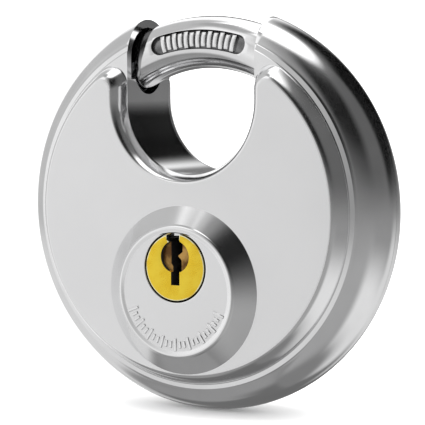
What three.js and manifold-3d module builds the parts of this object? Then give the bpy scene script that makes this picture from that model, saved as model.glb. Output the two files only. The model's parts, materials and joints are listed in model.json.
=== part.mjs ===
// Disc padlock with a rotating shackle: two drawn shells round a cast core, a pin tumbler
// cylinder whose plug swings the shackle out of the throat through a crank and a slotted plate.
// Millimetres, +Z up. The disc's axis runs along Y and the keyhole faces -Y. The origin is where
// the closed shackle hangs on a hasp: the underside of its rod, half way through the body.
// Inside the lock group the origin is the disc's centre. Clock angles start at the top and run
// clockwise as seen from the keyhole side.

import * as THREE from 'three';
import { mergeVertices } from 'three/addons/utils/BufferGeometryUtils.js';
import Module from 'manifold-3d';

const wasm = await Module();
wasm.setup();

// ---- Driving dimensions ----

// Case: two drawn steel shells
const discRadius = 35;
const sheet = 1.3;
const rimWidth = 6.4;
const rimHalfDepth = 7.1;
const plateauMargin = 4.65;
const plateauHeight = 2.8;
const plateauEdge = 2.1;
const hornRadius = 3.8;
const innerEdge = 0.8;

// Boss round the keyhole
const plugDrop = 9.18;
const bossBelowPlug = 4.17;
const bossFaceRadius = 10.96;
const bossBaseRadius = 14.3;
const bossHeight = 2.55;
const bossLip = 0.3;

// Throat and its liner
const throatHalfWidth = 12.4;
const throatBottom = 6.1;
const linerGap = 0.15;
const tunnelClearance = 0.8;
const tunnelHalfAngle = 50;

// Shackle
const rodRadius = 4.5;
const rodToRim = 0.6;
const rodStart = -35;
const rodEnd = 100;
const shackleSwing = 60;
const recessHalfAngle = 18.4;
const recessWidth = 3.3;
const recessDepth = 0.4;
const recessOutward = 0.4;

// Cast core
const coreGap = 0.25;
const coreRear = 2;
const coreStepInset = 5.35;
const grooveClearance = 0.4;
const grooveMargin = 3;
const cylinderWeb = 1.3;

// Cylinder and plug
const cylinderRadius = 9.9;
const cylinderGap = 0.1;
const plugRadius = 4.8;
const plugFaceRadius = 5.69;
const plugFaceSink = 0.15;
const plugFaceDepth = 1;
const faceGap = 0.2;
const runningGap = 0.1;
const keywayEnd = -0.6;
const keyRecessRadius = 2.4;
const keyRecessRise = 1.8;
const keyRecessDepth = 0.7;

// Tumblers
const pinCount = 4;
const firstPinY = -9;
const pinPitch = 2.6;
const pinRadius = 0.9;
const pinClearance = 0.12;
const shearGap = 0.1;
const keyPinLength = 2;
const driverLength = 2.8;
const springLength = 4;
const springWire = 0.17;
const springTurns = 5;
const pinChamfer = 0.25;
const coverThickness = 1;
const coverWidth = 3.2;
const coverOverhang = 1.6;

// Crank that the plug carries
const crankThickness = 1.3;
const crankPinRadius = 1.25;
const crankToPlate = 0.2;
const crankHubRadius = 4.1;
const crankWall = 0.95;
const tangWidth = 1.6;
const tangHeight = 5;
const crankScrewOffset = 2.4;

// Slotted plate that carries the shackle
const plateLift = 0.3;
const plateThickness = 1.8;
const hubRadius = 3.9;
const postRadius = 2;
const postDepth = 4.5;
const postGap = 0.06;
const slotClearance = 0.5;
const slotWall = 1.9;
const padStart = 70;
const padMargin = 1;
const padHalfWidth = 3;
const rivetInset = 7;
const rivetRadius = 1.4;
const rivetHeadRadius = 2.2;
const rivetHeadHeight = 0.8;
const rivetDepth = 4.2;

// Backing plate and its screws
const backingThickness = 2;
const backingLift = 0.5;
const washerGap = 0.05;
const washerWall = 1.8;
const pillarRadius = 2.4;
const pillarWall = 0.8;
const pillarOffset = 0.5;
const lowerPillarAngles = [222, 262];
const screwRadius = 1.2;
const screwDepth = 4;
const screwHeadRadius = 2.1;
const screwHeadHeight = 1.2;
const socketRadius = 1.1;
const socketDepth = 0.7;
const smallScrewRadius = 0.8;
const smallHeadRadius = 1.35;
const smallHeadDepth = 0.55;
const smallScrewDepth = 3;
const cylinderScrewX = 6.5;
const cylinderScrewDrop = 8.82;

// Fits and facets
const seatGap = 0.05;
const screwGap = 0.08;
const overrun = 1;
const discFacets = 48;
const boreFacets = 24;
const pinFacets = 10;
const rodFacets = 12;
const rodStepAngle = 5;
const springSides = 4;
const springSteps = 7;
const rimSteps = 4;
const throatSteps = 14;
const hornSteps = 3;
const outlineSteps = 36;

// ---- Derived positions ----

const plateauY = rimHalfDepth + plateauHeight;
const plateauRadius = discRadius - plateauMargin;
const rimCentre = discRadius - rimWidth;
const rodPath = discRadius - sheet - rodToRim - rodRadius;
const hangHeight = rodPath - rodRadius;
const throatCentre = throatBottom + throatHalfWidth;
const bossFaceY = -(plateauY + bossHeight);
const bossZ = -(plugDrop + bossBelowPlug);
const grooveRadius = rodRadius + grooveClearance;
const plateY = coreRear + plateLift;
const plateBackY = plateY + plateThickness;
const backingY = plateBackY + backingLift;
const backingBackY = backingY + backingThickness;
const boreRadius = plugRadius + runningGap;
const cylinderFrontY = bossFaceY + sheet + linerGap;
const cylinderRearY = coreRear - cylinderWeb - cylinderGap;
const crankBackY = plateY - crankToPlate;
const crankY = crankBackY - crankThickness;
const crankRadius = plugDrop * Math.tan(THREE.MathUtils.degToRad(shackleSwing / 2));
const crankReach = crankRadius + crankPinRadius + crankWall;
const slotAngle = 180 - shackleSwing / 2;
const pillarPath = rodPath - grooveRadius - pillarWall - pillarRadius;

// ---- Finishes ----

const satinSteel = { color: 0xd3d4d5, roughness: 0.34, metalness: 0.9 };
const polishedSteel = { color: 0xdadbdc, roughness: 0.12, metalness: 1 };
const hardSteel = { color: 0x9c9fa3, roughness: 0.3, metalness: 1 };
const castZinc = { color: 0x8f9295, roughness: 0.55, metalness: 0.8 };
const plugBrass = { color: 0xe0c23c, roughness: 0.28, metalness: 0.9 };
const bodyBrass = { color: 0xb9974a, roughness: 0.4, metalness: 0.9 };
const springSteel = { color: 0x7d8084, roughness: 0.3, metalness: 1 };

// ---- Shape helpers ----

function clockPoint(radius, degrees) {
  const angle = THREE.MathUtils.degToRad(degrees);
  return new THREE.Vector2(radius * Math.sin(angle), radius * Math.cos(angle));
}

function arcPoints(centre, radius, start, end, steps) {
  const points = [];
  for (let step = 0; step <= steps; step += 1) {
    points.push(clockPoint(radius, THREE.MathUtils.lerp(start, end, step / steps)).add(centre));
  }
  return points;
}

function circlePoints(centre, radius, facets) {
  return arcPoints(centre, radius, 0, 360, facets).slice(0, -1);
}

// A plate whose outline lies in the X-Z plane, between two values of Y.
function plate(outline, frontY, backY) {
  const geometry = new THREE.ExtrudeGeometry(new THREE.Shape(outline), {
    depth: backY - frontY,
    bevelEnabled: false,
  });
  geometry.rotateX(Math.PI / 2);
  geometry.translate(0, backY, 0);
  return geometry;
}

// The same with a rounded front edge, and a rounded back edge that lies behind backY.
function domedPlate(outline, frontY, backY, edge, height, segments) {
  const geometry = new THREE.ExtrudeGeometry(new THREE.Shape(outline), {
    depth: backY - frontY - height,
    bevelEnabled: true,
    bevelThickness: height,
    bevelSize: edge,
    bevelOffset: -edge,
    bevelSegments: segments,
  });
  geometry.rotateX(Math.PI / 2);
  geometry.translate(0, backY, 0);
  return geometry;
}

// A turned piece on an axis along Y through (x, z). The profile runs from front to back.
function turned(profile, facets, x = 0, z = 0) {
  const points = profile.map(([radius, y]) => new THREE.Vector2(radius, y));
  const geometry = new THREE.LatheGeometry(points, facets);
  geometry.translate(x, 0, z);
  return geometry;
}

function drum(radius, frontY, backY, facets, x = 0, z = 0) {
  const profile = [[0, frontY], [radius, frontY], [radius, backY], [0, backY]];
  return turned(profile, facets, x, z);
}

// A round bar standing along Z.
function upright(radius, lowZ, highZ, facets, y) {
  const geometry = new THREE.CylinderGeometry(radius, radius, highZ - lowZ, facets);
  geometry.rotateX(Math.PI / 2);
  geometry.translate(0, y, (lowZ + highZ) / 2);
  return geometry;
}

function block(lowX, highX, lowY, highY, lowZ, highZ) {
  const geometry = new THREE.BoxGeometry(highX - lowX, highY - lowY, highZ - lowZ);
  geometry.translate((lowX + highX) / 2, (lowY + highY) / 2, (lowZ + highZ) / 2);
  return geometry;
}

class ArcPath extends THREE.Curve {
  constructor(radius, start, end) {
    super();
    this.radius = radius;
    this.start = start;
    this.end = end;
  }

  getPoint(t, target = new THREE.Vector3()) {
    const point = clockPoint(this.radius, THREE.MathUtils.lerp(this.start, this.end, t));
    return target.set(point.x, 0, point.y);
  }
}

class SpringPath extends THREE.Curve {
  constructor(radius, y, lowZ, highZ, turns) {
    super();
    Object.assign(this, { radius, y, lowZ, highZ, turns });
  }

  getPoint(t, target = new THREE.Vector3()) {
    const angle = 2 * Math.PI * this.turns * t;
    const z = THREE.MathUtils.lerp(this.lowZ, this.highZ, t);
    return target.set(this.radius * Math.cos(angle), this.y + this.radius * Math.sin(angle), z);
  }
}

// A round bar bent along the shackle's circle.
function bentBar(radius, start, end) {
  const section = new THREE.Shape(circlePoints(new THREE.Vector2(), radius, rodFacets));
  return new THREE.ExtrudeGeometry(section, {
    extrudePath: new ArcPath(rodPath, start, end),
    steps: Math.round((end - start) / rodStepAngle),
  });
}

// A band of a disc between two radii and two clock angles.
function sector(innerRadius, outerRadius, start, end, frontY, backY) {
  const steps = Math.max(2, Math.round((end - start) / rodStepAngle));
  const centre = new THREE.Vector2();
  const outer = arcPoints(centre, outerRadius, start, end, steps);
  const inner = arcPoints(centre, innerRadius, end, start, steps);
  return plate([...outer, ...inner], frontY, backY);
}

// A bar with round ends between two points.
function link(from, to, radius, frontY, backY) {
  const along = to.clone().sub(from);
  const heading = THREE.MathUtils.radToDeg(Math.atan2(along.x, along.y));
  const steps = boreFacets / 4;
  const near = arcPoints(from, radius, heading + 90, heading + 270, steps);
  const far = arcPoints(to, radius, heading - 90, heading + 90, steps);
  return plate([...near, ...far], frontY, backY);
}

// ---- Joining and cutting ----

function asSolid(geometry) {
  const bare = geometry.clone();
  bare.deleteAttribute('normal');
  bare.deleteAttribute('uv');
  const merged = mergeVertices(bare);
  const corners = merged.index.array;
  const kept = [];
  for (let i = 0; i < corners.length; i += 3) {
    const [a, b, c] = corners.slice(i, i + 3);
    if (a !== b && b !== c && c !== a) {
      kept.push(a, b, c);
    }
  }
  return new wasm.Manifold(new wasm.Mesh({
    numProp: 3,
    vertProperties: merged.getAttribute('position').array,
    triVerts: new Uint32Array(kept),
  }));
}

function asGeometry(solid) {
  const mesh = solid.getMesh();
  const geometry = new THREE.BufferGeometry();
  geometry.setAttribute('position', new THREE.BufferAttribute(mesh.vertProperties, 3));
  geometry.setIndex(new THREE.BufferAttribute(mesh.triVerts, 1));
  return geometry;
}

function join(...geometries) {
  return geometries.map(asSolid).reduce((sum, solid) => sum.add(solid));
}

function cut(solid, ...tools) {
  return tools.map(asSolid).reduce((rest, tool) => rest.subtract(tool), solid);
}

function part(name, geometry, finish) {
  const mesh = new THREE.Mesh(geometry, new THREE.MeshStandardMaterial({ ...finish, flatShading: true }));
  mesh.name = name;
  return mesh;
}

function solidPart(name, solid, finish) {
  return part(name, asGeometry(solid), finish);
}

// ---- Case ----

// The raised face's outline: a disc with the throat taken out and both horns rounded.
function plateauOutline(inset) {
  const outerRadius = plateauRadius - inset;
  const halfWidth = throatHalfWidth + inset;
  const horn = hornRadius - inset;
  const hornX = halfWidth + horn;
  const hornZ = Math.sqrt((outerRadius - horn) ** 2 - hornX ** 2);
  const hornAngle = THREE.MathUtils.radToDeg(Math.atan2(hornX, hornZ));
  const rightHorn = new THREE.Vector2(hornX, hornZ);
  const leftHorn = new THREE.Vector2(-hornX, hornZ);
  const throat = new THREE.Vector2(0, throatCentre);
  return [
    ...arcPoints(rightHorn, horn, -90, hornAngle, hornSteps),
    ...arcPoints(new THREE.Vector2(), outerRadius, hornAngle, 360 - hornAngle, outlineSteps).slice(1, -1),
    ...arcPoints(leftHorn, horn, -hornAngle, 90, hornSteps),
    ...arcPoints(throat, halfWidth, 270, 90, throatSteps),
  ];
}

// A U that opens upwards, as wide as the throat plus a margin.
function throatOutline(margin, topZ) {
  const halfWidth = throatHalfWidth + margin;
  return [
    ...arcPoints(new THREE.Vector2(0, throatCentre), halfWidth, 270, 90, throatSteps),
    new THREE.Vector2(halfWidth, topZ),
    new THREE.Vector2(-halfWidth, topZ),
  ];
}

// The rim's rounded edge, from the shelf round to the widest point, set in by a wall.
function rimCurve(inset) {
  const points = [];
  for (let step = 0; step <= rimSteps; step += 1) {
    const angle = (Math.PI / 2) * (1 - step / rimSteps);
    points.push([
      rimCentre + (rimWidth - inset) * Math.cos(angle),
      -(rimHalfDepth - inset) * Math.sin(angle),
    ]);
  }
  return points;
}

// A disc with a rounded rim, from its front face back to a plane that is behind the widest point
// by backY, where it has begun to narrow again.
function rimDisc(inset, backY) {
  const depth = rimHalfDepth - inset;
  const backRadius = rimCentre + (rimWidth - inset) * Math.sqrt(1 - (backY / depth) ** 2);
  return turned([[0, -depth], ...rimCurve(inset), [backRadius, backY], [0, backY]], discFacets);
}

// The hollow behind a shell's rim, open towards the other shell.
function rimHollow() {
  const radius = discRadius - sheet;
  const depth = rimHalfDepth - sheet;
  return turned([[0, -depth], ...rimCurve(sheet), [radius, overrun], [0, overrun]], discFacets);
}

function shellRim() {
  return turned([[0, -rimHalfDepth], ...rimCurve(0), [0, 0]], discFacets);
}

function bossCone(inset, backY) {
  const y = bossFaceY + inset;
  const profile = [
    [0, y],
    [bossFaceRadius - inset / 2 - bossLip, y],
    [bossFaceRadius - inset / 2, y + bossLip],
    [bossBaseRadius - inset, -plateauY + inset / 2],
    [bossBaseRadius - inset, backY],
    [0, backY],
  ];
  return turned(profile, discFacets, 0, bossZ);
}

function straightWallTop() {
  const hornX = throatHalfWidth + hornRadius;
  return Math.sqrt((plateauRadius - hornRadius) ** 2 - hornX ** 2);
}

// The front half of the case without its boss. Turned round Z it is also the rear half.
function shellHalf() {
  const rim = cut(asSolid(shellRim()), plate(throatOutline(0, discRadius + overrun), -plateauY, overrun));
  const rear = -rimHalfDepth + sheet + overrun;
  const raised = asSolid(domedPlate(plateauOutline(0), -plateauY, rear, plateauEdge, plateauHeight, 2));
  const hollow = domedPlate(
    plateauOutline(sheet), -plateauY + sheet, rear, innerEdge, plateauHeight - sheet, 1,
  );
  const linerSeat = plate(throatOutline(sheet + linerGap, straightWallTop()), -rimHalfDepth, overrun);
  return cut(rim.add(raised), rimHollow(), hollow, linerSeat);
}

function frontShell() {
  const outer = shellHalf().add(asSolid(bossCone(0, -plateauY + sheet)));
  const shell = cut(
    outer,
    bossCone(sheet, -plateauY + sheet + overrun),
    drum(plugFaceRadius + faceGap, bossFaceY - overrun, -plateauY, boreFacets, 0, -plugDrop),
  );
  return solidPart('front_shell', shell, satinSteel);
}

function rearShell() {
  const geometry = asGeometry(shellHalf());
  geometry.rotateZ(Math.PI);
  return part('rear_shell', geometry, satinSteel);
}

function throatLiner() {
  const half = rimHalfDepth - linerGap;
  const topZ = straightWallTop() - linerGap;
  const strip = cut(
    asSolid(plate(throatOutline(sheet, topZ), -half, half)),
    plate(throatOutline(0, topZ + overrun), -half - overrun, half + overrun),
    bentBar(rodRadius + tunnelClearance, -tunnelHalfAngle, tunnelHalfAngle),
  );
  return solidPart('throat_liner', strip, polishedSteel);
}

// ---- Cast core ----

function pillarPlaces() {
  const sideX = throatHalfWidth + sheet + linerGap + pillarRadius + pillarOffset;
  const sideZ = Math.sqrt(pillarPath ** 2 - sideX ** 2);
  const upper = [new THREE.Vector2(sideX, sideZ), new THREE.Vector2(-sideX, sideZ)];
  const lower = lowerPillarAngles.map((angle) => clockPoint(pillarPath, angle));
  return [...upper, ...lower];
}

function coreBlock() {
  const pillars = pillarPlaces();
  const frontY = -plateauY + sheet + coreGap;
  const step = cut(
    asSolid(drum(plateauRadius - coreStepInset, frontY, 0, discFacets)),
    plate(throatOutline(sheet + innerEdge + coreGap, discRadius), -plateauY, overrun),
  );
  let core = join(
    rimDisc(sheet + coreGap, coreRear),
    ...pillars.map((at) => drum(pillarRadius, 0, backingY, boreFacets, at.x, at.y)),
  ).add(step);
  const grooveEnd = rodEnd + shackleSwing + grooveMargin;
  const grooveStart = rodStart - grooveMargin;
  core = cut(
    core,
    plate(throatOutline(sheet + linerGap, discRadius + overrun), -plateauY, backingY),
    bentBar(grooveRadius, grooveStart, grooveEnd),
    sector(rodPath, discRadius, grooveStart, grooveEnd, -plateauY, coreRear + overrun),
    drum(cylinderRadius + cylinderGap, -plateauY, cylinderRearY + cylinderGap, boreFacets, 0, bossZ),
    drum(crankReach + slotClearance, cylinderRearY, coreRear + overrun, boreFacets, 0, -plugDrop),
    drum(postRadius + seatGap, coreRear - postDepth, coreRear + overrun, boreFacets),
    ...pillars.map((at) => (
      drum(screwRadius + screwGap, coreRear - screwDepth, backingY + overrun, pinFacets, at.x, at.y)
    )),
    ...cylinderScrewPlaces().map((at) => smallScrew(at, coreRear, screwGap)),
  );
  return solidPart('core_block', core, castZinc);
}

// ---- Screws ----

// A countersunk screw whose flat head ends at headY. A gap makes the hole that it fits in.
function smallScrew(at, headY, gap) {
  const profile = [
    [0, headY - smallScrewDepth - gap],
    [smallScrewRadius + gap, headY - smallScrewDepth - gap],
    [smallScrewRadius + gap, headY - smallHeadDepth - gap],
    [smallHeadRadius + gap, headY],
  ];
  if (gap > 0) {
    profile.push([smallHeadRadius + gap, headY + gap]);
  }
  profile.push([0, headY + gap]);
  return turned(profile, pinFacets, at.x, at.y);
}

function cylinderScrewPlaces() {
  const z = -plugDrop - cylinderScrewDrop;
  return [new THREE.Vector2(cylinderScrewX, z), new THREE.Vector2(-cylinderScrewX, z)];
}

function crankScrewPlaces() {
  return [new THREE.Vector2(crankScrewOffset, -plugDrop), new THREE.Vector2(-crankScrewOffset, -plugDrop)];
}

function cylinderScrews() {
  return cylinderScrewPlaces().map((at, i) => (
    part(`cylinder_screw_${i + 1}`, smallScrew(at, coreRear, 0), hardSteel)
  ));
}

function crankScrews() {
  return crankScrewPlaces().map((at, i) => (
    part(`crank_screw_${i + 1}`, smallScrew(at, crankBackY, 0), hardSteel)
  ));
}

function backingScrews() {
  return pillarPlaces().map((at, i) => {
    const headBack = backingBackY + screwHeadHeight;
    const profile = [
      [0, coreRear - screwDepth + seatGap],
      [screwRadius, coreRear - screwDepth + seatGap],
      [screwRadius, backingBackY],
      [screwHeadRadius, backingBackY],
      [screwHeadRadius, headBack],
      [0, headBack],
    ];
    const screw = cut(
      asSolid(turned(profile, pinFacets, at.x, at.y)),
      drum(socketRadius, headBack - socketDepth, headBack + overrun, 6, at.x, at.y),
    );
    return solidPart(`backing_screw_${i + 1}`, screw, hardSteel);
  });
}

// ---- Cylinder and tumblers ----

function pinRows() {
  return Array.from({ length: pinCount }, (_, i) => firstPinY + i * pinPitch);
}

function driverTop() {
  return -plugDrop - plugRadius - runningGap - seatGap;
}

function springBottom() {
  return driverTop() - driverLength - springLength - seatGap;
}

function lockCylinder() {
  const chamberRadius = pinRadius + pinClearance;
  const coverTop = springBottom();
  const halfCover = coverWidth / 2 + seatGap;
  const lastPinY = firstPinY + (pinCount - 1) * pinPitch;
  const body = cut(
    asSolid(drum(cylinderRadius, cylinderFrontY, cylinderRearY, boreFacets, 0, bossZ)),
    drum(boreRadius, cylinderFrontY - overrun, cylinderRearY + overrun, boreFacets, 0, -plugDrop),
    ...pinRows().map((y) => upright(chamberRadius, coverTop - overrun, -plugDrop, pinFacets, y)),
    block(
      -halfCover, halfCover, firstPinY - coverOverhang, lastPinY + coverOverhang,
      bossZ - cylinderRadius - overrun, coverTop,
    ),
    ...cylinderScrewPlaces().map((at) => smallScrew(at, coreRear, screwGap)),
  );
  return solidPart('lock_cylinder', body, bodyBrass);
}

function pinCover() {
  const lastPinY = firstPinY + (pinCount - 1) * pinPitch;
  const topZ = springBottom() - seatGap;
  const strip = block(
    -coverWidth / 2, coverWidth / 2,
    firstPinY - coverOverhang + seatGap, lastPinY + coverOverhang - seatGap,
    topZ - coverThickness, topZ,
  );
  return part('pin_cover', strip, plugBrass);
}

// The slot for the key: open at the plug's top, with one ward that stands in from the right.
function keywayOutline() {
  return [
    [-1.6, plugFaceRadius + overrun], [0.9, plugFaceRadius + overrun], [0.9, 4.5],
    [1.1, 4.3], [1.1, 2.6], [0.2, 1.9], [0.88, 1.2], [0.88, -3],
    [-0.76, -3], [-0.76, 0.1], [-1.1, 0.6], [-1.1, 4.3], [-1.6, 4.6],
  ].map(([x, z]) => new THREE.Vector2(x, z - plugDrop));
}

function plug() {
  const faceY = bossFaceY + plugFaceSink;
  const profile = [
    [0, faceY],
    [plugFaceRadius, faceY],
    [plugFaceRadius, faceY + plugFaceDepth],
    [plugRadius, faceY + plugFaceDepth],
    [plugRadius, crankY],
    [0, crankY],
  ];
  const halfTang = tangWidth / 2;
  const body = cut(
    join(
      turned(profile, boreFacets, 0, -plugDrop),
      block(
        -halfTang, halfTang, crankY - overrun, crankBackY - seatGap,
        -plugDrop - tangHeight / 2, -plugDrop + tangHeight / 2,
      ),
    ),
    plate(keywayOutline(), faceY - overrun, keywayEnd),
    drum(keyRecessRadius, faceY - overrun, faceY + keyRecessDepth, boreFacets, 0, keyRecessRise - plugDrop),
    ...pinRows().map((y) => (
      upright(pinRadius + pinClearance, -plugDrop - plugRadius - overrun, -plugDrop, pinFacets, y)
    )),
    ...crankScrewPlaces().map((at) => smallScrew(at, crankBackY, screwGap)),
  );
  return solidPart('plug', body, plugBrass);
}

// A pin standing along Z with both ends chamfered.
function tumbler(name, y, lowZ, highZ, finish) {
  const profile = [
    [0, lowZ], [pinRadius - pinChamfer, lowZ], [pinRadius, lowZ + pinChamfer],
    [pinRadius, highZ - pinChamfer], [pinRadius - pinChamfer, highZ], [0, highZ],
  ];
  const geometry = turned(profile, pinFacets);
  geometry.rotateX(Math.PI / 2);
  geometry.translate(0, y, 0);
  return part(name, geometry, finish);
}

function keyPins() {
  const lowZ = -plugDrop - plugRadius + shearGap;
  return pinRows().map((y, i) => tumbler(`key_pin_${i + 1}`, y, lowZ, lowZ + keyPinLength, plugBrass));
}

function driverPins() {
  const highZ = driverTop();
  const lowZ = highZ - driverLength;
  return pinRows().map((y, i) => tumbler(`driver_pin_${i + 1}`, y, lowZ, highZ, hardSteel));
}

function pinSprings() {
  const highZ = driverTop() - driverLength - springWire - seatGap;
  const lowZ = springBottom() + springWire;
  const wire = new THREE.Shape(circlePoints(new THREE.Vector2(), springWire, springSides));
  return pinRows().map((y, i) => {
    const coil = new SpringPath(pinRadius - springWire, y, lowZ, highZ, springTurns);
    const geometry = new THREE.ExtrudeGeometry(wire, {
      extrudePath: coil,
      steps: springTurns * springSteps,
    });
    return part(`pin_spring_${i + 1}`, geometry, springSteel);
  });
}

// ---- Crank ----

function crankPinPlace() {
  return new THREE.Vector2(crankRadius, -plugDrop);
}

function crankArm() {
  const axis = new THREE.Vector2(0, -plugDrop);
  const halfTang = tangWidth / 2 + seatGap;
  const tangReach = tangHeight / 2 + seatGap;
  const armRadius = crankPinRadius + crankWall;
  const pinPlace = crankPinPlace();
  const arm = cut(
    join(
      drum(crankHubRadius, crankY, crankBackY, boreFacets, axis.x, axis.y),
      link(axis, pinPlace, armRadius, crankY, crankBackY),
    ),
    block(
      -halfTang, halfTang, crankY - overrun, crankBackY + overrun,
      axis.y - tangReach, axis.y + tangReach,
    ),
    drum(
      crankPinRadius + seatGap, crankY - overrun, crankBackY + overrun, boreFacets,
      pinPlace.x, pinPlace.y,
    ),
    ...crankScrewPlaces().map((at) => smallScrew(at, crankBackY, screwGap)),
  );
  return solidPart('crank_arm', arm, hardSteel);
}

function crankPin() {
  const at = crankPinPlace();
  return part('crank_pin', drum(crankPinRadius, crankY, plateBackY, boreFacets, at.x, at.y), hardSteel);
}

// ---- Shackle and its plate ----

function rivetPlaces() {
  return [padStart + rivetInset, rodEnd - rivetInset].map((angle) => clockPoint(rodPath, angle));
}

function shackle() {
  const panel = sector(
    rodPath + recessOutward - recessWidth / 2, rodPath + recessOutward + recessWidth / 2,
    -recessHalfAngle, recessHalfAngle, -rodRadius - overrun, 0,
  );
  const recess = asSolid(panel).subtract(asSolid(bentBar(rodRadius - recessDepth, rodStart, -rodStart)));
  const bar = asSolid(bentBar(rodRadius, rodStart, rodEnd)).subtract(recess);
  const rod = cut(
    bar,
    sector(rodPath - rodRadius - overrun, discRadius, padStart - padMargin, rodEnd + padMargin,
      plateY - seatGap, rodRadius + overrun),
    ...rivetPlaces().map((at) => (
      drum(rivetRadius + seatGap, plateY - rivetDepth - seatGap, rodRadius, pinFacets, at.x, at.y)
    )),
  );
  return solidPart('shackle', rod, polishedSteel);
}

function drivePlate() {
  const centre = new THREE.Vector2();
  const pinNear = Math.hypot(plugDrop, crankRadius);
  const pinFar = plugDrop + crankRadius;
  const slotHalf = crankPinRadius + slotClearance;
  const padMiddle = (padStart + rodEnd) / 2;
  const bar = join(
    link(centre, clockPoint(pinFar, slotAngle), slotHalf + slotWall, plateY, plateBackY),
    drum(hubRadius, plateY, plateBackY, boreFacets),
    sector(
      rodPath - padHalfWidth, rodPath + padHalfWidth, padStart, rodEnd - padMargin,
      plateY, plateBackY,
    ),
    link(centre, clockPoint(rodPath - padHalfWidth, padMiddle), hubRadius, plateY, plateBackY),
  );
  const arm = cut(
    bar,
    drum(postRadius + postGap, plateY - overrun, plateBackY + overrun, boreFacets),
    link(
      clockPoint(pinNear - slotClearance, slotAngle), clockPoint(pinFar + slotClearance, slotAngle),
      slotHalf, plateY - overrun, plateBackY + overrun,
    ),
    ...rivetPlaces().map((at) => (
      drum(rivetRadius + seatGap, plateY - overrun, plateBackY + overrun, pinFacets, at.x, at.y)
    )),
  );
  return solidPart('drive_plate', arm, hardSteel);
}

function shackleRivets() {
  return rivetPlaces().map((at, i) => {
    const profile = [
      [0, plateY - rivetDepth],
      [rivetRadius, plateY - rivetDepth],
      [rivetRadius, plateBackY],
      [rivetHeadRadius, plateBackY],
      [rivetRadius, plateBackY + rivetHeadHeight],
      [0, plateBackY + rivetHeadHeight],
    ];
    return part(`shackle_rivet_${i + 1}`, turned(profile, pinFacets, at.x, at.y), hardSteel);
  });
}

// ---- Pivot and backing plate ----

function pivotPost() {
  const post = drum(postRadius, coreRear - postDepth + seatGap, backingBackY, boreFacets);
  return part('pivot_post', post, hardSteel);
}

function pivotWasher() {
  const frontY = plateBackY + washerGap;
  const backY = backingY - washerGap;
  const washer = cut(
    asSolid(drum(postRadius + washerWall, frontY, backY, boreFacets)),
    drum(postRadius + seatGap, frontY - overrun, backY + overrun, boreFacets),
  );
  return solidPart('pivot_washer', washer, bodyBrass);
}

function backingPlate() {
  const radius = pillarPath + pillarRadius;
  const backing = cut(
    asSolid(drum(radius, backingY, backingBackY, discFacets)),
    plate(throatOutline(sheet + linerGap, discRadius), backingY - overrun, backingBackY + overrun),
    drum(postRadius + seatGap, backingY - overrun, backingBackY + overrun, boreFacets),
    ...pillarPlaces().map((at) => (
      drum(screwRadius + screwGap, backingY - overrun, backingBackY + overrun, pinFacets, at.x, at.y)
    )),
  );
  return solidPart('backing_plate', backing, hardSteel);
}

// ---- Assembly ----

const lock = new THREE.Group();
lock.position.z = -hangHeight;
lock.add(
  frontShell(),
  rearShell(),
  throatLiner(),
  coreBlock(),
  backingPlate(),
  ...backingScrews(),
  pivotPost(),
  pivotWasher(),
  lockCylinder(),
  ...cylinderScrews(),
  pinCover(),
  plug(),
  ...keyPins(),
  ...driverPins(),
  ...pinSprings(),
  crankArm(),
  crankPin(),
  ...crankScrews(),
  shackle(),
  drivePlate(),
  ...shackleRivets(),
);

const padlock = new THREE.Group();
padlock.add(lock);

export default padlock;
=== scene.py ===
import json
import math

import bmesh
import bpy
from mathutils import Matrix, Vector

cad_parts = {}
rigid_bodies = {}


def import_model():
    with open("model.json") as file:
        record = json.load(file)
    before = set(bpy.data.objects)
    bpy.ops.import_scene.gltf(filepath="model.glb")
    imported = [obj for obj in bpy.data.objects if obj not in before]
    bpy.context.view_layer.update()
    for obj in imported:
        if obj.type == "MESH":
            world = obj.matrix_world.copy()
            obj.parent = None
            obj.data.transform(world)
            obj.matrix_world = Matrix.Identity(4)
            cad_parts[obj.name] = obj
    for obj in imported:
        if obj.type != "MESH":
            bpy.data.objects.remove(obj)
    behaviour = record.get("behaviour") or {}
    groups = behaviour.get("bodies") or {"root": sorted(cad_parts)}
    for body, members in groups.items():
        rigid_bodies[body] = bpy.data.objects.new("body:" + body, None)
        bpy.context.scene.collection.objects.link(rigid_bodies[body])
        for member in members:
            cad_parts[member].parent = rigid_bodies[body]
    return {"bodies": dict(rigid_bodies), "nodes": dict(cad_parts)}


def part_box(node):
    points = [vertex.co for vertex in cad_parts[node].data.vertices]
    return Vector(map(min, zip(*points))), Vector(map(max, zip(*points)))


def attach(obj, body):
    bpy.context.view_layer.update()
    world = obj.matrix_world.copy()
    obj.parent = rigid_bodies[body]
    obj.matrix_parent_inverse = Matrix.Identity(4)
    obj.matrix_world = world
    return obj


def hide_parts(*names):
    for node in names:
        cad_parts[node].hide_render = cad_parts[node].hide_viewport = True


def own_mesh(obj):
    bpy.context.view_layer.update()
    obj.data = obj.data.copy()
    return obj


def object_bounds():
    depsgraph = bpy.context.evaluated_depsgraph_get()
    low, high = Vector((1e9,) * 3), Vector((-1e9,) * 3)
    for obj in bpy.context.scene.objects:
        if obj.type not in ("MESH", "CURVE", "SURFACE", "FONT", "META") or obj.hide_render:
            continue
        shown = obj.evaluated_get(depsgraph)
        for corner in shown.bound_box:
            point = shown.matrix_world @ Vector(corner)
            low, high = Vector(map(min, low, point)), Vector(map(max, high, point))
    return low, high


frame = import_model()
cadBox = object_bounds()
print("frame loaded,", len(frame["nodes"]), "nodes")

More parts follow.
